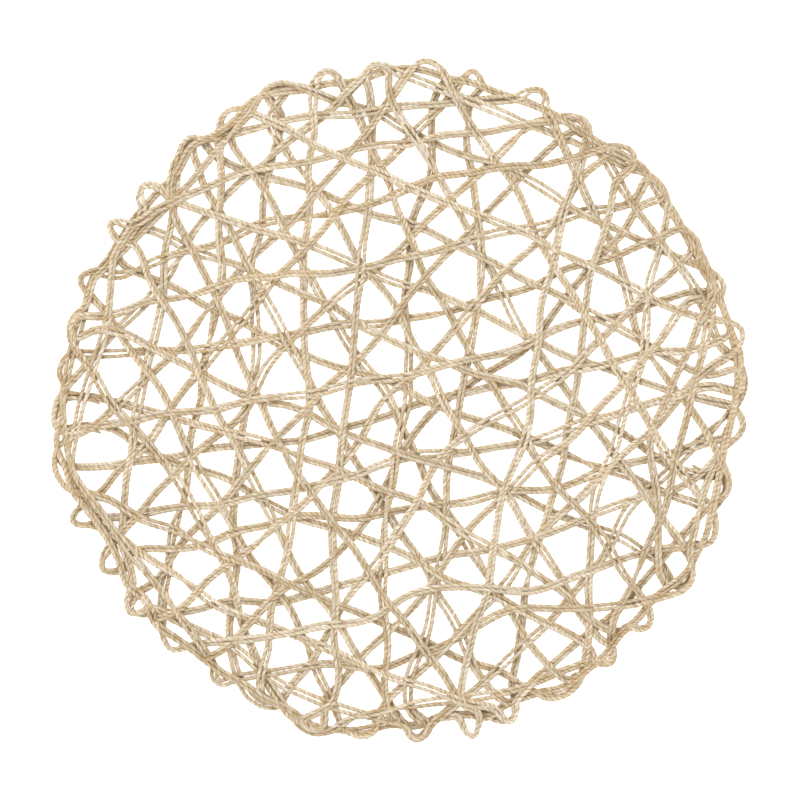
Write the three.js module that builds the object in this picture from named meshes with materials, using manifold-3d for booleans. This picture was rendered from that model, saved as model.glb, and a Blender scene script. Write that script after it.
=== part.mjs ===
import * as THREE from 'three';
import { mergeVertices } from 'three/addons/utils/BufferGeometryUtils.js';
import Module from 'manifold-3d';

// Round open-weave placemat of twisted twine, wound on a ring of pegs and lying flat.
// Millimetres, +Z up. The origin is the middle of the underside.

// Driving dimensions
const strandWidth = 4.3;          // a strand is two cords side by side
const matThickness = 4.4;         // two layers of cord where strands cross
const meshRadius = 186;           // circle on which the strands meet the edge loops
const strandPitch = 27.8;         // even spacing of the strands that share a direction
const legRadius = 175;            // where a strand starts to bend into its edge loop
const bandInner = 177.6;          // edge band of strands that run round the mat
const bandOuter = 183.4;
const bandOverlap = 0.02;         // part of the way round by which a band strand's halves overlap
const tuckRadius = 181;           // past which a strand already lies on the edge band
const tailRadius = 180;           // where the end of a tucked strand lies in the band
const gapsCutThrough = 300;       // the largest gaps are open, the smaller ones are filled
const fieldRadius = 226;          // blank disc from which the open parts are found
const barStep = 4;                // length of one straight piece of a strand
const outlineTolerance = 0.3;     // how far a cut outline may stray from the strands' edges

// Stations along a strand, as parts of its half length, where its drift is given
const stations = [-0.7, -0.35, 0, 0.35, 0.7];

// Five directions, 36 degrees apart. A row is one strand: its place in pitches from the
// middle, then its drift in mm from that line at the stations from left to right.
const directions = [
  {
    heading: 12,
    strands: [
      [6, -3, -2, -4, -8, -11],
      [5, -4, 2, 1, -1, -3],
      [4, -7, -1, 0, 4, 2],
      [3, -3, -2, -6, -5, -3],
      [2, 1, -6, -11, -12, -2],
      [1, -8, -11, -14, -11, -5],
      [0, -3, -7, -5, -2, -4],
      [-1, -4, -8, -4, -9, -3],
      [-2, 3, 1, -3, -7, -4],
      [-3, -7, -11, -8, -6, 3],
      [-4, 1, -3, 5, -4, -1],
      [-5, 5, -1, 3, 11, 5],
      [-6, 1, 2, 0, -2, 2],
    ],
  },
  {
    heading: 48,
    strands: [
      [6, 4, 2, 1, 1, 1],
      [5, 3, 3, 7, 5, -1],
      [4, 4, 0, 2, 2, 4],
      [3, 7, 11, 14, 13, 10],
      [2, 9, 7, 11, 1, -4],
      [1, 8, 10, 3, 7, 5],
      [0, 9, 0, 6, 3, 5],
      [-1, 5, -2, 9, -3, 0],
      [-2, -1, 7, 17, 1, -5],
      [-3, 3, 3, 4, 0, 1],
      [-4, 4, 3, 4, 1, -2],
      [-5, 2, -2, -5, 4, 1],
      [-6, 8, 4, -1, 0, 1],
    ],
  },
  {
    heading: 84,
    strands: [
      [6, 9, 9, 4, -1, -2],
      [5, 6, 5, 1, -2, -3],
      [4, 6, 2, -2, -4, 1],
      [3, -4, 2, -2, 4, 0],
      [2, 2, -4, -5, 5, 8],
      [1, -5, 1, -1, 1, 4],
      [0, -7, 0, -3, 1, -1],
      [-1, 1, -4, -5, -10, 0],
      [-2, 0, -5, -15, -16, -27],
      [-3, 3, -1, -11, -15, -21],
      [-4, -5, -2, -12, -18, -24],
      [-5, 2, -11, -17, -25, -25],
      [-5.5, 1, 6, 10, 1, -12],
      [-6, -2, -6, -15, -18, -11],
    ],
  },
  {
    heading: 120,
    strands: [
      [6, -4, -1, 3, 6, 9],
      [5, 0, -8, -11, -7, -2],
      [4, 3, 0, 4, 1, 4],
      [3, 7, 10, 10, 5, 2],
      [2, 1, 8, 13, 8, 1],
      [1, 8, 9, 11, 10, 6],
      [0, 4, 9, 7, 9, 9],
      [-1, 0, 4, 5, 5, 10],
      [-2, -3, 3, 8, 4, -1],
      [-3, -9, -1, 3, 3, 3],
      [-4, -5, -3, -1, -1, 0],
      [-5, 2, 5, -3, -6, -11],
      [-6, -3, -6, -3, 0, 1],
    ],
  },
  {
    heading: 156,
    strands: [
      [6, -2, 2, 2, -5, -6],
      [5, -1, 2, 0, 2, -4],
      [4, 4, 3, 5, 5, 4],
      [3, -4, -7, -5, -6, -3],
      [2, 7, -5, -7, -4, 6],
      [1, -7, -10, 0, 2, 3],
      [0, -13, -9, -6, -2, -5],
      [-1, -5, -8, -2, -7, -4],
      [-2, -11, -4, -7, -2, 2],
      [-3, -1, -5, -8, -6, -2],
      [-4, 1, 0, 0, 2, 0],
      [-5, 3, 2, -1, 0, 1],
      [-6, -3, -4, -2, -1, 0],
    ],
  },
];

// Loops round the edge, one for each peg of the winding ring: the angle at which a loop
// stands, in degrees anticlockwise from the right, how far out its outer side reaches, and
// how far out the edge is at its lowest between this loop and the next one clockwise.
const edgeLoops = [
  [85.5, 190, 182.5], [77.3, 189.2, 181.5], [65.5, 190, 182.5], [57, 188, 183],
  [47.2, 190.3, 188.5], [40, 190, 186], [28.5, 189, 187], [19.8, 191.7, 189],
  [11.5, 195, 192.5], [3.5, 193, 188], [-4, 192, 183.5], [-15, 189.5, 185.3],
  [-23.5, 191, 187], [-32, 191.5, 181], [-42, 186.5, 179.7], [-51, 187.8, 183],
  [-60, 187.8, 180.5], [-70.8, 189, 183.5], [-77.6, 191, 178.5], [-87, 188.5, 181],
  [-96.5, 188, 186.8], [-105, 191, 183.5], [-114.3, 186, 180.7], [-123, 186, 181],
  [-133, 188, 184], [-142, 190.7, 183], [-150.5, 190.2, 181], [-160, 193.5, 190],
  [-168.8, 195.3, 193.3], [-177, 192.6, 187.3], [-185.3, 190, 185.3], [-193, 188.7, 184.5],
  [-201.2, 190.4, 181], [-211.5, 189.4, 179.5], [-220, 187.5, 178.6], [-231, 188.7, 182],
  [-239.5, 188, 187.5], [-248.5, 190.5, 183], [-257.5, 188.7, 181], [-266, 188.5, 186.3],
];
const shortestLeg = 5;            // mm from a strand's last station to its bend, at least
const legToLoop = 2.5;            // degrees from a shallow strand's bend to the top of its loop
const tuckRun = 4;                // degrees that the tucked end runs on along the band
const shallowPlace = 46;          // mm off centre past which a strand meets the edge aslant
const edgePoints = 480;           // points of the edge's outline
const bandPoints = 240;           // points of half a band strand

const degree = Math.PI / 180;
const polar = (radius, angle) => new THREE.Vector3(radius * Math.cos(angle), radius * Math.sin(angle), 0);
const wrap = (angle) => Math.atan2(Math.sin(angle), Math.cos(angle));

// The number of the edge loop nearest to an angle
function nearestLoop(angle) {
  const away = edgeLoops.map(([at]) => Math.abs(wrap(at * degree - angle)));
  return away.indexOf(Math.min(...away));
}

// The lowest place of the edge beside a loop, on the side that the turn points to
function edgeDip(index, turn) {
  const count = edgeLoops.length;
  const upper = turn > 0 ? (index + count - 1) % count : index;
  const [from, , radius] = edgeLoops[upper];
  const [to] = edgeLoops[(upper + 1) % count];
  const angle = from * degree + wrap((to - from) * degree) / 2;
  return { angle, radius };
}

// The bend, loop and tucked end of a strand, from its last two stations outwards
function edgeEnd(before, last) {
  const heading = last.clone().sub(before).normalize();
  const along = last.dot(heading);
  const room = Math.max(legRadius ** 2 - last.lengthSq() + along ** 2, 0);
  const leg = last.clone().addScaledVector(heading, Math.max(Math.sqrt(room) - along, shortestLeg));
  const legAngle = Math.atan2(leg.y, leg.x);
  const offCentre = leg.x * heading.y - leg.y * heading.x;
  const shallow = Math.abs(offCentre) > shallowPlace;
  const onEdge = last.length() > tuckRadius;
  let turn = Math.sign(offCentre);
  let loop = nearestLoop(legAngle);
  if (shallow && !onEdge) {
    loop = nearestLoop(legAngle + turn * legToLoop * degree * Math.abs(offCentre) / shallowPlace);
  } else if (!shallow) {
    turn = Math.sign(wrap(edgeLoops[loop][0] * degree - legAngle)) || 1;
  }
  const [at, reach] = edgeLoops[loop];
  const dip = edgeDip(loop, turn);
  const end = [
    polar(dip.radius - strandWidth / 2, dip.angle),
    polar(tailRadius, dip.angle + turn * tuckRun * degree),
  ];
  return onEdge ? end : [leg, polar(reach - strandWidth / 2, at * degree), ...end];
}

// The middle line of one strand, from edge to edge
function strandLine(heading, [place, ...drifts]) {
  const offset = place * strandPitch;
  const halfLength = Math.sqrt(meshRadius ** 2 - offset ** 2);
  const turned = new THREE.Vector3(0, 0, 1);
  const inner = stations.map((station, i) => {
    const point = new THREE.Vector3(station * halfLength, offset + drifts[i], 0);
    return point.applyAxisAngle(turned, heading * degree);
  });
  const start = edgeEnd(inner[1], inner[0]).reverse();
  const end = edgeEnd(inner[3], inner[4]);
  return new THREE.CatmullRomCurve3([...start, ...inner, ...end], false, 'centripetal');
}

// A closed line round the mat, through a point at each loop and one at each low place
function roundLine(atLoop, atDip) {
  const points = edgeLoops.flatMap(([at, reach], i) => {
    const dip = edgeDip(i, -1);
    return [polar(atLoop(reach), at * degree), polar(atDip(dip.radius), dip.angle)];
  });
  return new THREE.CatmullRomCurve3(points, true, 'centripetal');
}

// The two strands of the edge band, each as two halves that overlap
function bandLines() {
  const half = strandWidth / 2;
  const inner = roundLine(() => bandInner + half, (dip) => Math.min(bandInner + half, dip - half));
  const outer = roundLine(() => bandOuter - half, (dip) => Math.min(bandOuter, dip) - half);
  const halfOf = (ring, start) => {
    const points = [];
    for (let i = 0; i <= bandPoints; i += 1) {
      points.push(ring.getPoint((start + (0.5 + bandOverlap) * i / bandPoints) % 1));
    }
    return new THREE.CatmullRomCurve3(points, false, 'centripetal');
  };
  return [inner, outer].flatMap((ring) => [halfOf(ring, 0), halfOf(ring, 0.5)]);
}

const wasm = await Module();
wasm.setup();

// A closed geometry as a solid that can be joined and cut
function solid(geometry) {
  geometry.deleteAttribute('normal');
  geometry.deleteAttribute('uv');
  const merged = mergeVertices(geometry, 1e-4);
  const mesh = new wasm.Mesh({
    numProp: 3,
    vertProperties: new Float32Array(merged.attributes.position.array),
    triVerts: new Uint32Array(merged.index.array),
  });
  return new wasm.Manifold(mesh);
}

// A closed line's inside, raised to the mat's thickness
function slab(line) {
  const shape = new THREE.Shape(line.getPoints(edgePoints).map(({ x, y }) => new THREE.Vector2(x, y)));
  return solid(new THREE.ExtrudeGeometry(shape, { depth: matThickness, bevelEnabled: false }));
}

// A strand as a flat bar that follows its middle line, as wide as its two cords
function bar(line) {
  const half = strandWidth / 2;
  const section = new THREE.Shape();
  section.moveTo(0, -half);
  section.lineTo(0, half);
  section.lineTo(-matThickness, half);
  section.lineTo(-matThickness, -half);
  const steps = Math.round(line.getLength() / barStep);
  return solid(new THREE.ExtrudeGeometry(section, { steps, bevelEnabled: false, extrudePath: line }));
}

// The closed outlines of a slab's top face, the widest first
function topOutlines(piece) {
  const { vertProperties, triVerts, numProp } = piece.getMesh();
  const onTop = (v) => vertProperties[v * numProp + 2] > matThickness / 2;
  const next = new Map();
  const inside = new Set();
  for (let t = 0; t < triVerts.length; t += 3) {
    const corners = [triVerts[t], triVerts[t + 1], triVerts[t + 2]];
    if (corners.every(onTop)) {
      corners.forEach((a, i) => {
        const b = corners[(i + 1) % 3];
        inside.add(`${a},${b}`);
      });
    }
  }
  for (const edge of inside) {
    const [a, b] = edge.split(',').map(Number);
    if (!inside.has(`${b},${a}`)) {
      next.set(a, b);
    }
  }
  const outlines = [];
  while (next.size > 0) {
    const outline = [];
    let [v] = next.keys();
    while (next.has(v)) {
      const following = next.get(v);
      next.delete(v);
      outline.push(new THREE.Vector2(vertProperties[v * numProp], vertProperties[v * numProp + 1]));
      v = following;
    }
    outlines.push(outline);
  }
  const area = (outline) => Math.abs(THREE.ShapeUtils.area(outline));
  return outlines.sort((a, b) => area(b) - area(a));
}

// Leaves out the points that an outline does not need, the least needed first
function thinned(outline, tolerance) {
  const points = [...outline];
  const need = (i) => {
    const before = points[(i + points.length - 1) % points.length];
    const after = points[(i + 1) % points.length];
    const across = after.clone().sub(before);
    const length = Math.max(across.length(), 1e-6);
    return Math.abs(across.cross(points[i].clone().sub(before))) / length;
  };
  while (points.length > 3) {
    const needs = points.map((_, i) => need(i));
    const least = needs.indexOf(Math.min(...needs));
    if (needs[least] > tolerance) {
      break;
    }
    points.splice(least, 1);
  }
  return points;
}

// The web of strands inside the edge's outline, and the field that it leaves open
const lines = directions.flatMap(({ heading, strands }) => strands.map((strand) => strandLine(heading, strand)));
const web = [...lines, ...bandLines()]
  .map(bar)
  .reduce((joined, strand) => joined.add(strand))
  .intersect(slab(roundLine((reach) => reach, (dip) => dip)));
const field = slab(roundLine(() => fieldRadius, () => fieldRadius));
const open = field.subtract(web).decompose().sort((a, b) => b.volume() - a.volume());

// The first open piece is all that lies outside the mat, the next ones are the gaps
const edge = thinned(topOutlines(open[0])[1], outlineTolerance);
const gaps = open.slice(1, 1 + gapsCutThrough)
  .map((gap) => thinned(topOutlines(gap)[0], outlineTolerance));

function wovenMat() {
  const centre = new THREE.Box2().setFromPoints(edge).getCenter(new THREE.Vector2());
  const placed = (outline) => outline.map((p) => p.clone().sub(centre));
  const shape = new THREE.Shape(placed(edge));
  shape.holes = gaps.map((gap) => new THREE.Path(placed(gap)));
  const geometry = new THREE.ExtrudeGeometry(shape, { depth: matThickness, bevelEnabled: false });
  const twine = new THREE.MeshStandardMaterial({ color: 0xd8bf96, roughness: 0.9, metalness: 0 });
  const mat = new THREE.Mesh(geometry, twine);
  mat.name = 'woven_mat';
  return mat;
}

const placemat = new THREE.Group();
placemat.add(wovenMat());

export default placemat;
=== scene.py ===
import math

import bmesh
import bpy
import numpy as np
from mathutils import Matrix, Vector


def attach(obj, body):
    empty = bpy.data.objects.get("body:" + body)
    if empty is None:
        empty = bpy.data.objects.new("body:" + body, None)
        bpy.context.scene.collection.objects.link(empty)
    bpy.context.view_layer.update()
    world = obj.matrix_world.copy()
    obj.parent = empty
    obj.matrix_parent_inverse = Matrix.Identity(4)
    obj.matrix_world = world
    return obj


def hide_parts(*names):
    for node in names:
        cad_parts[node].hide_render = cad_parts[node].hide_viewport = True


# A round open-weave placemat of twisted twine, laid strand by strand, in metres.
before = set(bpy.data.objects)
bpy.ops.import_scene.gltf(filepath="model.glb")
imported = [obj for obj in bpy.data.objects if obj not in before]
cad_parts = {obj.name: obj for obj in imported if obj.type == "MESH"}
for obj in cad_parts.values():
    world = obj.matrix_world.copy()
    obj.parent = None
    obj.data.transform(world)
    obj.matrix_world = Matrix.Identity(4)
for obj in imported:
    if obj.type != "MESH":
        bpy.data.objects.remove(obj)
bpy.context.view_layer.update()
mm = 0.001
degree = math.pi / 180
seed = np.random.default_rng(11)

# Camera straight above the mat, on a long lens, framed as the photo is
camera = {
    "height": 2.5,
    "viewWidth": 0.4432,                # width of table that the picture shows
    "middle": (0.0003, 0.0),            # the picture's middle, from the mat's middle
    "sensor": 36.0,
}


def makeCamera(parts):
    data = bpy.data.cameras.new("camera")
    data.sensor_width = parts["sensor"]
    data.lens = parts["sensor"] * parts["height"] / parts["viewWidth"]
    obj = bpy.data.objects.new("camera", data)
    obj.location = (*parts["middle"], parts["height"])
    bpy.context.scene.collection.objects.link(obj)
    bpy.context.scene.camera = obj


makeCamera(camera)
print("camera set")

# Plan of the web
web = {
    "strandWidth": 0.0043,              # a strand is two cords side by side
    "meshRadius": 0.186,                # circle on which the strands meet the edge loops
    "strandPitch": 0.0278,              # even spacing of the strands that share a direction
    "legRadius": 0.17,                  # where a strand starts to bend into its edge loop
    "footRadius": 0.1812,               # about where the loops rise out of the edge band
    "footSpan": (1.9 * degree, 3.7 * degree),   # how near to and far from its loop a foot stands
    "shoulder": (0.5, 0.76),            # between foot and top: part of the way along and out
    "loopRise": 0.0025,                 # of a loop's strand over its feet, at least
    "loopInside": 0.0016,               # from a loop's edge to its strand's middle line
    "passStep": 0.0012,                 # between the strands that share a loop
    "tuckRadius": 0.181,                # past which a strand already lies on the edge
    "tuckRun": 3.5 * degree,            # how far a tucked end runs on along the band
    "tuckStops": (0.5, 1),              # parts of that run at which the end has a point
    "tailInside": 0.0015,               # of the band's middle line, where the tucked ends lie
    "overlap": 0.005,                   # how far a loop's end lies along the strand it meets
    "shortestLeg": 0.005,               # from a strand's last station to its bend, at least
    "legToLoop": 2.5 * degree,          # from a shallow strand's bend to the top of its loop
    "shallowPlace": 0.046,              # off centre, past which a strand meets the edge aslant
    "middle": (0.0, 0.0008),            # the mat's middle, from the edge band's centre
}

# Stations along a strand, as parts of its half length, where its drift is given
stations = [-0.7, -0.35, 0, 0.35, 0.7]

# Five directions, 36 degrees apart. A row is one strand: its place in pitches from the
# middle, then its drift in mm from that line at the stations from left to right.
directions = {
    12: [
        [6, -3, -2, -4, -8, -11],
        [5, -4, 2, 1, -1, -3],
        [4, -7, -1, 0, 4, 2],
        [3, -3, -2, -6, -5, -3],
        [2, 1, -6, -11, -12, -2],
        [1, -8, -11, -14, -11, -5],
        [0, -3, -7, -5, -2, -4],
        [-1, -4, -8, -4, -9, -3],
        [-2, 3, 1, -3, -7, -4],
        [-3, -7, -11, -8, -6, 3],
        [-4, 1, -3, 5, -4, -1],
        [-5, 5, -1, 3, 11, 5],
        [-6, 1, 2, 0, -2, 2],
    ],
    48: [
        [6, 4, 2, 1, 1, 1],
        [5, 3, 3, 7, 5, -1],
        [4, 4, 0, 2, 2, 4],
        [3, 7, 11, 14, 13, 10],
        [2, 9, 7, 11, 1, -4],
        [1, 8, 10, 3, 7, 5],
        [0, 9, 0, 6, 3, 5],
        [-1, 5, -2, 9, -3, 0],
        [-2, -1, 7, 17, 1, -5],
        [-3, 3, 3, 4, 0, 1],
        [-4, 4, 3, 4, 1, -2],
        [-5, 2, -2, -5, 4, 1],
        [-6, 8, 4, -1, 0, 1],
    ],
    84: [
        [6, 9, 9, 4, -1, -2],
        [5, 6, 5, 1, -2, -3],
        [4, 6, 2, -2, -4, 1],
        [3, -4, 2, -2, 4, 0],
        [2, 2, -4, -5, 5, 8],
        [1, -5, 1, -1, 1, 4],
        [0, -7, 0, -3, 1, -1],
        [-1, 1, -4, -5, -10, 0],
        [-2, 0, -5, -15, -16, -27],
        [-3, 3, -1, -11, -15, -21],
        [-4, -5, -2, -12, -18, -24],
        [-5, 2, -11, -17, -25, -25],
        [-5.5, 1, 6, 10, 1, -12],
        [-6, -2, -6, -15, -18, -11],
    ],
    120: [
        [6, -4, -1, 3, 6, 9],
        [5, 0, -8, -11, -7, -2],
        [4, 3, 0, 4, 1, 4],
        [3, 7, 10, 10, 5, 2],
        [2, 1, 8, 13, 8, 1],
        [1, 8, 9, 11, 10, 6],
        [0, 4, 9, 7, 9, 9],
        [-1, 0, 4, 5, 5, 10],
        [-2, -3, 3, 8, 4, -1],
        [-3, -9, -1, 3, 3, 3],
        [-4, -5, -3, -1, -1, 0],
        [-5, 2, 5, -3, -6, -11],
        [-6, -3, -6, -3, 0, 1],
    ],
    156: [
        [6, -2, 2, 2, -5, -6],
        [5, -1, 2, 0, 2, -4],
        [4, 4, 3, 5, 5, 4],
        [3, -4, -7, -5, -6, -3],
        [2, 7, -5, -7, -4, 6],
        [1, -7, -10, 0, 2, 3],
        [0, -13, -9, -6, -2, -5],
        [-1, -5, -8, -2, -7, -4],
        [-2, -11, -4, -7, -2, 2],
        [-3, -1, -5, -8, -6, -2],
        [-4, 1, 0, 0, 2, 0],
        [-5, 3, 2, -1, 0, 1],
        [-6, -3, -4, -2, -1, 0],
    ],
}

# Loops round the edge: the angle at which a loop stands, in degrees anticlockwise from the
# right, how far out it reaches in mm, how far out the edge is at its lowest between this
# loop and the next one clockwise, and how far out the band runs under the loop.
edgeLoops = [
    [85.5, 190, 182.5, 183], [77.3, 189.2, 181.5, 180.6],
    [65.5, 190, 182.5, 180], [57, 188, 183, 180],
    [47.2, 190.3, 188.5, 184], [40, 190, 186, 184.5],
    [28.5, 189, 187, 183], [19.8, 191.7, 189, 184.5],
    [11.5, 195, 192.5, 188], [3.5, 193, 188, 188],
    [-4, 192, 183.5, 183], [-15, 189.5, 185.3, 182],
    [-23.5, 191, 187, 185], [-32, 191.5, 181, 184],
    [-42, 186.5, 179.7, 178.5], [-51, 187.8, 183, 180],
    [-60, 187.8, 180.5, 182], [-70.8, 189, 183.5, 178],
    [-77.6, 191, 178.5, 177.5], [-87, 188.5, 181, 180],
    [-96.5, 188, 186.8, 183], [-105, 191, 183.5, 185],
    [-114.3, 186, 180.7, 181], [-123, 186, 181, 179],
    [-133, 188, 184, 180], [-142, 190.7, 183, 178],
    [-150.5, 190.2, 181, 178.5], [-160, 193.5, 190, 182],
    [-168.8, 195.3, 193.3, 189], [-177, 192.6, 187.3, 188],
    [-185.3, 190, 185.3, 184], [-193, 188.7, 184.5, 182],
    [-201.2, 190.4, 181, 183], [-211.5, 189.4, 179.5, 177.5],
    [-220, 187.5, 178.6, 177], [-231, 188.7, 182, 182],
    [-239.5, 188, 187.5, 180], [-248.5, 190.5, 183, 184],
    [-257.5, 188.7, 181, 180.5], [-266, 188.5, 186.3, 182],
]


def polar(radius, angle):
    return np.array([radius * math.cos(angle), radius * math.sin(angle)])


def wrap(angle):
    return math.atan2(math.sin(angle), math.cos(angle))


def nearestLoop(angle):
    return min(range(len(edgeLoops)), key=lambda i: abs(wrap(edgeLoops[i][0] * degree - angle)))


# The lowest place of the edge beside a loop, on the side that the turn points to
def edgeDip(index, turn):
    upper = (index - 1) % len(edgeLoops) if turn > 0 else index
    start, _, radius, _ = edgeLoops[upper]
    end = edgeLoops[(upper + 1) % len(edgeLoops)][0]
    return radius * mm, start * degree + wrap((end - start) * degree) / 2


# How far out the band runs at an angle, and how far out the mat's edge is there
def rimAt(angle):
    around = []
    for i, (at, reach, _, band) in enumerate(edgeLoops):
        dip, dipAngle = edgeDip(i, -1)
        around += [(at * degree, band * mm, reach * mm),
                   (dipAngle, dip - web["strandWidth"] / 2, dip)]
    angles, bands, edges = zip(*around)
    return [np.interp(angle, angles, radii, period=2 * math.pi) for radii in (bands, edges)]


# A point of a strand, drawn in where it would stick out past the mat's edge
def withinEdge(point):
    _, edge = rimAt(math.atan2(point[1], point[0]))
    return point * min(1, (edge - web["strandWidth"] / 2) / np.linalg.norm(point))


# The point ahead on a line where it meets a circle, and at least a short step on
def ahead(point, heading, radius):
    along = point @ heading
    room = max(radius ** 2 - point @ point + along ** 2, 0)
    return point + heading * max(math.sqrt(room) - along, web["shortestLeg"])


# Where a strand leaves the web: its bend, the loop that it goes to, and its foot's place there
def strandEnd(before, last):
    heading = (last - before) / np.linalg.norm(last - before)
    leg = ahead(last, heading, web["legRadius"])
    legAngle = math.atan2(leg[1], leg[0])
    offCentre = leg[0] * heading[1] - leg[1] * heading[0]
    lean = offCentre / web["shallowPlace"]
    loop = nearestLoop(legAngle + web["legToLoop"] * (lean if abs(lean) > 1 else 0))
    foot = ahead(leg, heading, web["footRadius"])
    return {
        "last": last, "leg": leg, "loop": loop, "turn": math.copysign(1, offCentre), "lean": lean,
        "foot": wrap(math.atan2(foot[1], foot[0]) - edgeLoops[loop][0] * degree),
    }


# A foot of a loop, on the side that the way points to
def footAngle(end, way):
    nearest, farthest = web["footSpan"]
    return way * min(max(way * end["foot"], nearest), farthest)


# The way over a loop, from one foot round the top to the other
def overLoop(loop, feet, passed):
    at, reach, _, band = edgeLoops[loop]
    top = reach * mm - web["loopInside"] - passed * web["passStep"]
    low = min(band * mm, top - web["loopRise"])
    aside, out = web["shoulder"]
    shoulder = low + out * (top - low)
    turns = [(low, feet[0]), (shoulder, (1 - aside) * feet[0]), (top, 0),
             (shoulder, (1 - aside) * feet[1]), (low, feet[1])]
    return [polar(radius, at * degree + angle) for radius, angle in turns]


# A tucked end, run along the band from an angle
def tail(angle, turn):
    inside = web["tailInside"] * seed.random()
    turns = [angle + turn * part * web["tuckRun"] for part in web["tuckStops"]]
    return [polar(rimAt(turned)[0] - inside, turned) for turned in turns]


# Joins the ends at one loop in pairs: one strand goes over the loop and meets the other
def joinEnds(loop, ends):
    at = edgeLoops[loop][0] * degree
    ends = sorted(ends, key=lambda end: end["foot"] / web["footSpan"][1] - end["lean"])
    passed = 0
    while len(ends) > 1 and (ends[0]["lean"] < 1 or ends[-1]["lean"] < 1) \
            and (ends[0]["lean"] > -1 or ends[-1]["lean"] > -1):
        low, high = ends.pop(0), ends.pop()
        over, under = (low, high) if seed.random() < 0.5 else (high, low)
        way = overLoop(loop, (footAngle(low, -1), footAngle(high, 1)), passed)
        if over is high:
            way.reverse()
        inward = (under["last"] - under["leg"]) / np.linalg.norm(under["last"] - under["leg"])
        over["way"] = [over["leg"], *way, under["leg"], under["leg"] + inward * web["overlap"]]
        under["way"] = [under["leg"], way[-1]]
        passed += 1
    for end in ends:
        if passed == 0:
            foot = footAngle(end, -end["turn"])
            way = overLoop(loop, (foot, -foot), passed)
            end["way"] = [end["leg"], *way, *tail(at - foot, end["turn"])]
            passed += 1
        else:
            end["way"] = [end["leg"], *tail(math.atan2(end["leg"][1], end["leg"][0]), end["turn"])]


# The points that the strands' middle lines run through, from edge to edge
def strandRoutes():
    strands = []
    visits = {}
    for heading, rows in directions.items():
        along = polar(1, heading * degree)
        aside = polar(1, (heading + 90) * degree)
        for place, *drifts in rows:
            offset = place * web["strandPitch"]
            halfLength = math.sqrt(web["meshRadius"] ** 2 - offset ** 2)
            inner = [withinEdge(along * station * halfLength + aside * (offset + drift * mm))
                     for station, drift in zip(stations, drifts)]
            ends = [strandEnd(inner[1], inner[0]), strandEnd(inner[-2], inner[-1])]
            strands.append((f"strands_{heading:03d}", inner, ends))
            for end in ends:
                if np.linalg.norm(end["last"]) > web["tuckRadius"]:
                    dip, dipAngle = edgeDip(end["loop"], end["turn"])
                    low = polar(dip - web["strandWidth"] / 2, dipAngle)
                    end["way"] = [low, *tail(dipAngle, end["turn"])]
                else:
                    visits.setdefault(end["loop"], []).append(end)
    for loop, ends in sorted(visits.items()):
        joinEnds(loop, ends)
    print("loops used", len(visits), "of", len(edgeLoops))
    return [(name, [*reversed(ends[0]["way"]), *inner, *ends[1]["way"]], False)
            for name, inner, ends in strands]


# The band's strand: a closed line round the mat, through the low places between the loops
def bandRoute():
    points = []
    for i, (at, _, _, band) in enumerate(edgeLoops):
        dip, dipAngle = edgeDip(i, -1)
        points += [polar(band * mm, at * degree), polar(dip - web["strandWidth"] / 2, dipAngle)]
    return ("edge_band", points, True)


# A centripetal Catmull-Rom curve through points
def smoothLine(points, closed=False, perSpan=24):
    points = np.array(points)
    if closed:
        points = np.vstack([points[-1], points, points[:2]])
    else:
        points = np.vstack([2 * points[0] - points[1], points, 2 * points[-1] - points[-2]])
    t = np.linspace(0, 1, perSpan, endpoint=False)[:, None]
    spans = []
    for a, b, c, d in zip(points, points[1:], points[2:], points[3:]):
        ab, bc, cd = [math.sqrt(np.linalg.norm(step)) for step in (b - a, c - b, d - c)]
        leave = bc * ((b - a) / ab - (c - a) / (ab + bc)) + c - b
        arrive = bc * ((d - c) / cd - (d - b) / (bc + cd)) + c - b
        spans.append(b + leave * t + (3 * (c - b) - 2 * leave - arrive) * t ** 2
                     + (leave + arrive - 2 * (c - b)) * t ** 3)
    if not closed:
        spans.append(points[-2:-1])
    return np.vstack(spans)


# A line with its points set about one step apart
def evenLine(line, step, closed=False):
    if closed:
        line = np.vstack([line, line[:1]])
    travelled = np.concatenate([[0], np.cumsum(np.linalg.norm(np.diff(line, axis=0), axis=1))])
    count = round(travelled[-1] / step)
    at = np.linspace(0, travelled[-1], count, endpoint=not closed)
    return np.stack([np.interp(at, travelled, axis) for axis in line.T], axis=1)


# Bell-shaped weights for smoothing over about so many points to either side
def bell(reach):
    return np.exp(-0.5 * (np.arange(-3 * reach, 3 * reach + 1) / reach) ** 2)


# A smooth random wave of about unit height along a line, with bends of about a given length
def softNoise(count, length, step, closed):
    kernel = bell(round(length / step))
    rough = seed.normal(size=count)
    padded = np.pad(rough, len(kernel) // 2, mode="wrap" if closed else "reflect")
    return np.convolve(padded, kernel, mode="valid") / math.sqrt((kernel ** 2).sum())


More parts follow.
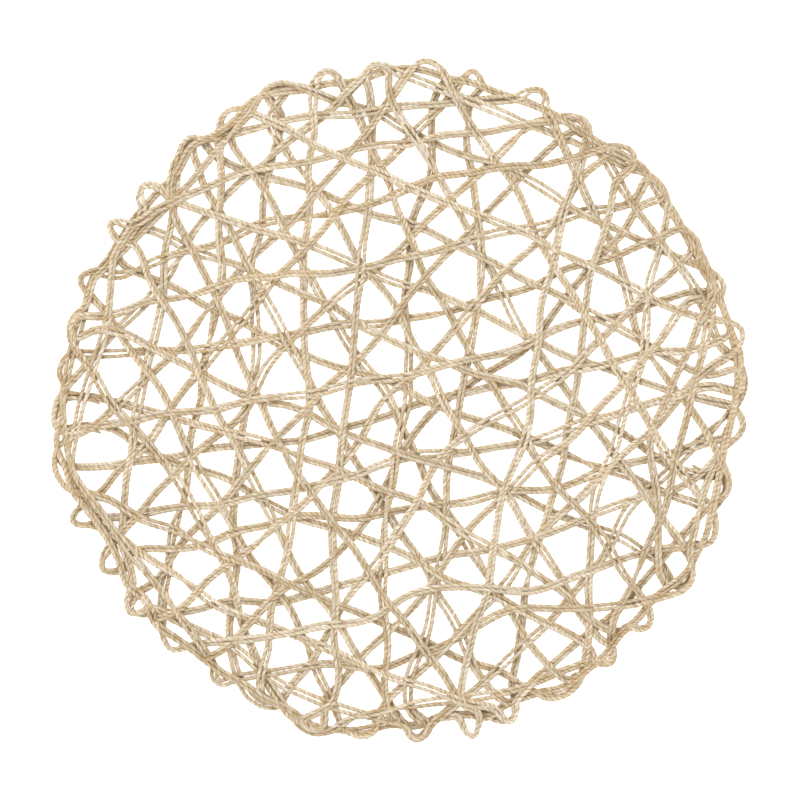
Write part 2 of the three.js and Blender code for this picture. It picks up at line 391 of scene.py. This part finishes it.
# The twine, and how its cords lie side by side and over one another
cord = {
    "radius": 0.00134,                  # of one cord, at its fattest
    "step": 0.000375,                   # between the points that are laid
    "ringEvery": 2,                     # laid points from one ring of the mesh to the next
    "pitch": 0.0066,                    # length in which a cord twists once round
    "pitchParts": (0.9, 1.12),          # a cord's own pitch lies between these parts of it
    "pitchSpread": 0.16,                # how unevenly it twists along its length
    "spreadLength": 0.02,
    "thinning": 0.05,                   # how much thinner a cord is in places
    "thinningLength": 0.008,
    "apart": 0.00215,                   # between the middles of a strand's cords where they touch
    "parting": 0.0008,                  # how far they part
    "partingLimits": (-0.3, 1.7),       # parts of that, at least and at most
    "together": 0.22,                   # the higher, the more of their length they touch
    "partingLength": 0.012,
    "closedEnd": 0.02,                  # over which they come together at a tucked end
    "swaps": (0, 0, 1, 1, 2),           # how often a strand's cords change sides, drawn at random
    "swapPlaces": (0.12, 0.88),         # parts of the strand's length between which they do so
    "swapLength": 0.006,
    "closeRadius": (0.1825, 0.1865),    # between these a strand's cords draw together on a loop
    "closeGap": 0.5,                    # part of their gap that is left there
    "taper": 0.0025,                    # over which a tucked end narrows
    "tip": 0.35,                        # part of the thickness that is left there
    "sinking": 0.012,                   # over which a tucked end goes down under the others
    "wander": 0.0013,                   # of a strand, off its planned line
    "wanderLength": 0.011,
    "calmRadius": (0.155, 0.17),        # between these the wander dies away towards the edge
    "calmWander": 0.25,                 # part of the wander that is left there
    "press": 0.0008,                    # how far crossing cords press into each other
    "slope": 0.17,                      # steepest climb of a cord
    "loft": 0.0055,                     # height to which the pressed mat tends
    "soften": 4,                        # laid points over which a climb is rounded
    "runLength": 0.11,                  # a strand changes its place in the pile after about this
    "nearby": (0.0015, 0.003),          # how far off higher cords can stand and still paint shade onto a cord
    "nearbyWays": 12,                   # directions in which they are looked for
    "yarnStart": 50,                    # the cords' patterns start within so many metres
}


# The directions square to a line, from the directions along it
def squareTo(forward):
    forward /= np.linalg.norm(forward, axis=1)[:, None]
    return np.stack([-forward[:, 1], forward[:, 0]], axis=1)


# The plan lines of a strand's two cords
def cordPair(line, closed):
    count = len(line)
    forward = np.roll(line, -1, axis=0) - np.roll(line, 1, axis=0)
    if not closed:
        forward[0] = line[1] - line[0]
        forward[-1] = line[-1] - line[-2]
    radius = np.linalg.norm(line + web["middle"], axis=1)
    part = softNoise(count, cord["partingLength"], cord["step"], closed) - cord["together"]
    part = np.clip(part, *cord["partingLimits"]) * cord["parting"]
    near, far = cord["closeRadius"]
    out = np.clip((radius - near) / (far - near), 0, 1)
    gap = (cord["apart"] + part) * (1 - (1 - cord["closeGap"]) * out)
    side = np.ones(count)
    at = np.arange(count) * cord["step"]
    if not closed:
        inside = np.clip(np.minimum(at, at[::-1]) / cord["closedEnd"], 0, 1)
        gap = cord["apart"] + (gap - cord["apart"]) * inside
        for _ in range(seed.choice(cord["swaps"])):
            side *= np.tanh((at - seed.uniform(*cord["swapPlaces"]) * at[-1]) / cord["swapLength"])
    calm = np.interp(radius, cord["calmRadius"], (1, cord["calmWander"]))
    drift = softNoise(count, cord["wanderLength"], cord["step"], closed) * cord["wander"] * calm
    aside = squareTo(forward)
    return [line + aside * (drift + way * side * gap / 2)[:, None] for way in (-1, 1)]


# Heights of what is laid so far, on a square grid over the mat
ground = {
    "cell": 0.0005,
    "half": 0.2,                        # of the grid's side
    "rests": (-0.4, 0, 0.4),            # parts of a cord's radius at which it rests on others
    "raises": (-0.9, -0.45, 0, 0.45, 0.9),  # and at which it raises the heights
}
gridSize = round(2 * ground["half"] / ground["cell"])
heights = np.zeros((gridSize, gridSize))


def cellsAt(points):
    index = np.round((points + ground["half"]) / ground["cell"]).astype(int)
    return tuple(np.clip(index, 0, gridSize - 1).T)


# Grid cells under a line, some parts of the cord's radius beside it
def cellsBeside(line, across):
    aside = squareTo(np.gradient(line, axis=0))
    return [cellsAt(line + aside * cord["radius"] * part) for part in across]


# How high a cord's middle line lies at least, over what is laid there
def restOver(line):
    below = np.max([heights[cells] for cells in cellsBeside(line, ground["rests"])], axis=0)
    return cord["radius"] + np.maximum(below - cord["press"], 0)


# The heights that a cord takes over its rests: no climb is too steep, and climbs are rounded
def eased(rest, closed=False):
    at = np.arange(len(rest)) * cord["step"]
    apart = np.abs(at[:, None] - at[None, :])
    if closed:
        apart = np.minimum(apart, at[-1] + cord["step"] - apart)
    height = np.max(rest[None, :] - cord["slope"] * apart, axis=1)
    kernel = bell(cord["soften"])
    padded = np.pad(height, len(kernel) // 2, mode="wrap" if closed else "edge")
    return np.convolve(padded, kernel / kernel.sum(), mode="valid")


# Raises the grid's heights to the round top of a cord
def raiseGround(line, height):
    for part, cells in zip(ground["raises"], cellsBeside(line, ground["raises"])):
        np.maximum.at(heights, cells, height + cord["radius"] * math.sqrt(1 - part ** 2))


# Lays all strands in short runs and in mixed order, so that each goes over some and under others
def layWeb():
    groups = {}
    runs = []
    for name, points, closed in [*strandRoutes(), bandRoute()]:
        line = evenLine(smoothLine(points, closed) - web["middle"], cord["step"], closed)
        pair = [evenLine(one, cord["step"], closed) for one in cordPair(line, closed)]
        strand = [(one, np.zeros(len(one)), closed) for one in pair]
        groups.setdefault(name, []).extend(strand)
        count = math.ceil(len(line) * cord["step"] / cord["runLength"])
        runs += [(strand, k / count, (k + 1) / count) for k in range(count)]
    for k in seed.permutation(len(runs)):
        strand, begin, end = runs[k]
        for line, rest, _ in strand:
            part = slice(round(begin * len(line)), round(end * len(line)))
            rest[part] = restOver(line[part])
            raiseGround(line[part], eased(rest[part]))
    return {name: [(line, eased(rest, closed), closed) for line, rest, closed in strands]
            for name, strands in groups.items()}


# Heights in the pressed mat: the more lies beneath, the more it gives
def pressed(height):
    over = height - cord["radius"]
    return cord["radius"] + cord["loft"] * (1 - np.exp(-over / cord["loft"]))


# Heights of a cord whose two ends go down to the table
def sunk(height, at):
    part = np.clip(np.minimum(at, at[::-1]) / cord["sinking"], 0, 1)
    return cord["radius"] + (height - cord["radius"]) * part ** 2 * (3 - 2 * part)


# Painted shade: how closely other cords stand over a cord's top, from 0 to 1, which darkens the cord's
# colour
def paintedShadeAmount(line, height):
    top = height + cord["radius"]
    total = np.zeros(len(line))
    for reach in cord["nearby"]:
        for way in range(cord["nearbyWays"]):
            aside = polar(reach, 2 * math.pi * way / cord["nearbyWays"])
            total += np.clip((heights[cellsAt(line + aside)] - top) / reach, 0, 1)
    return total / (len(cord["nearby"]) * cord["nearbyWays"])


laid = layWeb()
allHeights = np.concatenate([height for cords in laid.values() for _, height, _ in cords])
print("cords laid", sum(len(cords) for cords in laid.values()),
      "highest", round(pressed(allHeights.max()), 5), "length", round(len(allHeights) * cord["step"], 2))

# One cord's section: two plies side by side, as parts of the cord's radius
sectionRadii = [1, 0.88, 0.88, 1, 0.88, 0.88]
sectionAngles = np.arange(len(sectionRadii)) * 2 * math.pi / len(sectionRadii)


def makeSection():
    data = bpy.data.curves.new("cordSection", "CURVE")
    spline = data.splines.new("POLY")
    spline.points.add(len(sectionRadii) - 1)
    for point, part, angle in zip(spline.points, sectionRadii, sectionAngles):
        point.co = (*polar(part * cord["radius"], angle), 0, 1)
    spline.use_cyclic_u = True
    return bpy.data.objects.new("cordSection", data)


# A curve's swept form as a mesh
def sweptMesh(data):
    swept = bpy.data.objects.new(data.name + "_swept", data)
    bpy.context.scene.collection.objects.link(swept)
    graph = bpy.context.evaluated_depsgraph_get()
    mesh = bpy.data.meshes.new_from_object(swept.evaluated_get(graph))
    bpy.data.objects.remove(swept)
    return mesh


# A finished mesh, put in the scene as a piece
def addPiece(name, mesh):
    mesh.shade_smooth()
    mesh.calc_loop_triangles()
    print(name, len(mesh.vertices), "points", len(mesh.loop_triangles), "triangles")
    piece = bpy.data.objects.new(name, mesh)
    bpy.context.scene.collection.objects.link(piece)
    return piece


# Sweeps the cords of one group as twisted two-ply twine and makes them one mesh. Each point
# keeps its place in its cord as "yarn": along it, and across it before it is twisted.
def makeCords(name, cords, section):
    data = bpy.data.curves.new(name, "CURVE")
    data.dimensions = "3D"
    data.twist_mode = "Z_UP"
    data.bevel_mode = "OBJECT"
    data.bevel_object = section
    ringStep = cord["step"] * cord["ringEvery"]
    across = np.stack([np.cos(sectionAngles), np.sin(sectionAngles)], axis=1)
    across *= np.array(sectionRadii)[:, None] * cord["radius"]
    yarn = []
    tone = []
    paintedShade = []
    for line, height, closed in cords:
        line = line[::cord["ringEvery"]]
        height = height[::cord["ringEvery"]]
        # painted shade from the cords that stand over this one, kept for the twine's colour
        near = paintedShadeAmount(line, height)
        count = len(line)
        at = np.arange(count) * ringStep
        height = pressed(height) if closed else sunk(pressed(height), at)
        unevenness = softNoise(count, cord["spreadLength"], ringStep, closed)
        turns = np.cumsum(1 + cord["pitchSpread"] * unevenness)
        turns *= ringStep / (cord["pitch"] * seed.uniform(*cord["pitchParts"]))
        if closed:
            turns *= round(turns[-1]) / turns[-1]
        turn = 2 * math.pi * (seed.random() + turns)
        spline = data.splines.new("POLY")
        spline.points.add(count - 1)
        spline.points.foreach_set("co", np.column_stack([line, height, np.ones(count)]).ravel())
        spline.points.foreach_set("tilt", turn)
        spline.use_cyclic_u = closed
        thinner = np.abs(softNoise(count, cord["thinningLength"], ringStep, closed))
        thickness = 1 - cord["thinning"] * thinner
        if not closed:
            taper = np.minimum(at, at[::-1]) / cord["taper"]
            thickness *= np.clip(cord["tip"] + (1 - cord["tip"]) * taper, 0, 1)
        spline.points.foreach_set("radius", thickness)
        along = np.repeat(at + seed.uniform(0, cord["yarnStart"]), len(across))
        yarn.append(np.column_stack([along, np.tile(across, (count, 1))]))
        tone.append(np.full(count * len(across), seed.random()))
        paintedShade.append(np.repeat(near, len(across)))
    mesh = sweptMesh(data)
    for key, kind, field, values in [("yarn", "FLOAT_VECTOR", "vector", yarn),
                                     ("tone", "FLOAT", "value", tone),
                                     ("paintedShade", "FLOAT", "value", paintedShade)]:
        attribute = mesh.attributes.new(key, kind, "POINT")
        attribute.data.foreach_set(field, np.concatenate(values).ravel())
    form = bmesh.new()
    form.from_mesh(mesh)
    openEdges = [edge for edge in form.edges if edge.is_boundary]
    bmesh.ops.holes_fill(form, edges=openEdges, sides=len(across))
    if form.calc_volume(signed=True) < 0:
        bmesh.ops.reverse_faces(form, faces=form.faces)
    form.to_mesh(mesh)
    form.free()
    return addPiece(name, mesh)


# Shader helpers
def newMaterial(name):
    material = bpy.data.materials.new(name)
    material.use_nodes = True
    nodes = material.node_tree.nodes
    return material, nodes, material.node_tree.links, nodes["Principled BSDF"]


def addNode(nodes, kind, **values):
    node = nodes.new(kind)
    for key, value in values.items():
        setattr(node, key, value)
    return node


twineLooks = {
    "dark": (0.26, 0.146, 0.043, 1),    # in dull stretches, and painted shade in the grooves between plies and under crowding cords
    "middle": (0.524, 0.388, 0.223, 1),
    "light": (0.81, 0.743, 0.618, 1),
    "stops": (0.15, 0.5, 0.9),          # shades at which the twine has these three colours
    "roughness": 0.8,
    "specular": 0.12,
    "streaks": (180, 2400, 2400),       # fibre streaks: scale along and across the cord
    "streakDetail": 3,
    "patches": (160, 500, 500),         # duller and lighter stretches
    "patchDetail": 2,
    "groove": 0.42,                     # how far the groove reaches, as part of the radius, for its relief and its painted shade
    "shares": {                         # of each pattern in the shade
        "base": -0.38,
        "streaks": 1.0,
        "patches": 0.6,
        "tone": 0.14,
        # painted shade, the twine darker in the grooves between its plies
        "groove": 0.17,
        # painted shade, darker where other cords stand over a cord
        "paintedShade": -0.16,
    },
    "relief": 0.0003,
    "streakRelief": 0.4,                # height of the streaks, as part of the groove's
}


def makeTwine(looks):
    material, nodes, links, bsdf = newMaterial("twine")
    yarn, tone, paintedShade = [addNode(nodes, "ShaderNodeAttribute", attribute_name=name)
                           for name in ("yarn", "tone", "paintedShade")]

    def noise(scale, detail):
        mapping = addNode(nodes, "ShaderNodeMapping")
        mapping.inputs["Scale"].default_value = scale
        links.new(yarn.outputs["Vector"], mapping.inputs["Vector"])
        texture = addNode(nodes, "ShaderNodeTexNoise")
        texture.inputs["Scale"].default_value = 1
        texture.inputs["Detail"].default_value = detail
        links.new(mapping.outputs["Vector"], texture.inputs["Vector"])
        return texture.outputs["Fac"]

    def combine(operation, *values):
        node = addNode(nodes, "ShaderNodeMath", operation=operation)
        for socket, value in zip(node.inputs, values):
            if isinstance(value, (int, float)):
                socket.default_value = value
            else:
                links.new(value, socket)
        return node.outputs["Value"]

    parts = addNode(nodes, "ShaderNodeSeparateXYZ")
    links.new(yarn.outputs["Vector"], parts.inputs["Vector"])
    # 0 in the groove between the plies and 1 on a ply: it gives the relief and paints shade into the
    # groove
    groove = addNode(nodes, "ShaderNodeMapRange", interpolation_type="SMOOTHSTEP")
    groove.inputs["From Max"].default_value = looks["groove"] * cord["radius"]
    links.new(combine("ABSOLUTE", parts.outputs["Y"]), groove.inputs["Value"])
    signals = {
        "streaks": noise(looks["streaks"], looks["streakDetail"]),
        "patches": noise(looks["patches"], looks["patchDetail"]),
        "tone": tone.outputs["Fac"],
        "groove": groove.outputs["Result"],
        # painted shade where other cords stand over a cord
        "paintedShade": paintedShade.outputs["Fac"],
    }
    shade = looks["shares"]["base"]
    for name, signal in signals.items():
        shade = combine("MULTIPLY_ADD", signal, looks["shares"][name], shade)
    ramp = addNode(nodes, "ShaderNodeValToRGB")
    first, second, third = looks["stops"]
    ramp.color_ramp.elements[0].position = first
    ramp.color_ramp.elements[0].color = looks["dark"]
    ramp.color_ramp.elements[1].position = third
    ramp.color_ramp.elements[1].color = looks["light"]
    ramp.color_ramp.elements.new(second).color = looks["middle"]
    links.new(shade, ramp.inputs["Fac"])
    links.new(ramp.outputs["Color"], bsdf.inputs["Base Color"])
    bsdf.inputs["Roughness"].default_value = looks["roughness"]
    bsdf.inputs["Specular IOR Level"].default_value = looks["specular"]
    bump = addNode(nodes, "ShaderNodeBump")
    bump.inputs["Distance"].default_value = looks["relief"]
    height = combine("MULTIPLY_ADD", signals["streaks"], looks["streakRelief"], signals["groove"])
    links.new(height, bump.inputs["Height"])
    links.new(bump.outputs["Normal"], bsdf.inputs["Normal"])
    return material


# Loose fibres that stand off the twine
fibres = {
    "count": 300,
    "thickness": 0.00014,
    "thinning": 0.6,                    # part of the thickness that is lost towards the tip
    "length": (0.002, 0.009),
    "points": 7,
    "clear": 8,                         # none in the first and last of so many parts of a cord
    "leave": (0.2, 1.1),                # angle between a fibre and its cord where it leaves
    "bend": 1.6,                        # most that a fibre turns along its length
    "rise": 0.0008,                     # most that a tip rises or sinks
}


def makeFibres(name, parts, cords):
    data = bpy.data.curves.new(name, "CURVE")
    data.dimensions = "3D"
    data.bevel_depth = parts["thickness"] / 2
    data.bevel_resolution = 0
    data.use_fill_caps = True
    count = parts["points"]
    along = np.linspace(0, 1, count)
    for _ in range(parts["count"]):
        line, height, _ = cords[seed.integers(len(cords))]
        clear = parts["clear"]
        k = seed.integers(len(line) // clear, len(line) * (clear - 1) // clear)
        heading = math.atan2(*(line[k + 1] - line[k])[::-1])
        angles = heading + seed.choice((-1, 1)) * seed.uniform(*parts["leave"]) \
            + seed.uniform(-parts["bend"], parts["bend"]) * along
        steps = np.stack([np.cos(angles), np.sin(angles)], axis=1)
        steps *= seed.uniform(*parts["length"])
        place = line[k] + np.cumsum(steps / count, axis=0)
        up = pressed(height[k]) + seed.uniform(-parts["rise"], parts["rise"]) * along
        spline = data.splines.new("POLY")
        spline.points.add(count - 1)
        spline.points.foreach_set("co", np.column_stack([place, up, np.ones(count)]).ravel())
        spline.points.foreach_set("radius", 1 - parts["thinning"] * along)
    return addPiece(name, sweptMesh(data))


section = makeSection()
twine = makeTwine(twineLooks)
for name, cords in laid.items():
    piece = makeCords(name, cords, section)
    piece.data.materials.append(twine)
    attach(piece, "root")
    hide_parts("woven_mat")
bpy.data.objects.remove(section)
stray = makeFibres("stray_fibres", fibres, [one for cords in laid.values() for one in cords])
stray.data.materials.append(twine)
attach(stray, "root")

# Plain white table and soft studio light
studio = {
    "floorHalf": 4.0,
    "floorColor": (0.93, 0.93, 0.925, 1),
    "floorRoughness": 0.9,
    "floorGlow": 0.7,                   # a light table, so that gaps stay white
    "world": 1.12,
    "keyPower": 15,
    "keySize": 0.9,
    "keyPlace": (-0.7, 0.8, 1.7),
}


def makeStudio(parts):
    mesh = bpy.data.meshes.new("floor")
    form = bmesh.new()
    bmesh.ops.create_grid(form, x_segments=1, y_segments=1, size=parts["floorHalf"])
    form.to_mesh(mesh)
    form.free()
    floor = bpy.data.objects.new("floor", mesh)
    bpy.context.scene.collection.objects.link(floor)
    material, _, _, bsdf = newMaterial("floor")
    bsdf.inputs["Base Color"].default_value = parts["floorColor"]
    bsdf.inputs["Roughness"].default_value = parts["floorRoughness"]
    bsdf.inputs["Emission Color"].default_value = parts["floorColor"]
    bsdf.inputs["Emission Strength"].default_value = parts["floorGlow"]
    mesh.materials.append(material)
    world = bpy.data.worlds.new("world")
    world.use_nodes = True
    background = world.node_tree.nodes["Background"]
    background.inputs["Color"].default_value = (1, 1, 1, 1)
    background.inputs["Strength"].default_value = parts["world"]
    bpy.context.scene.world = world
    light = bpy.data.lights.new("key", "AREA")
    light.energy = parts["keyPower"]
    light.size = parts["keySize"]
    key = bpy.data.objects.new("key", light)
    key.location = parts["keyPlace"]
    key.rotation_euler = (-Vector(parts["keyPlace"])).to_track_quat("-Z", "Y").to_euler()
    bpy.context.scene.collection.objects.link(key)
    bpy.context.scene.view_settings.view_transform = "Standard"


makeStudio(studio)
print("studio set")
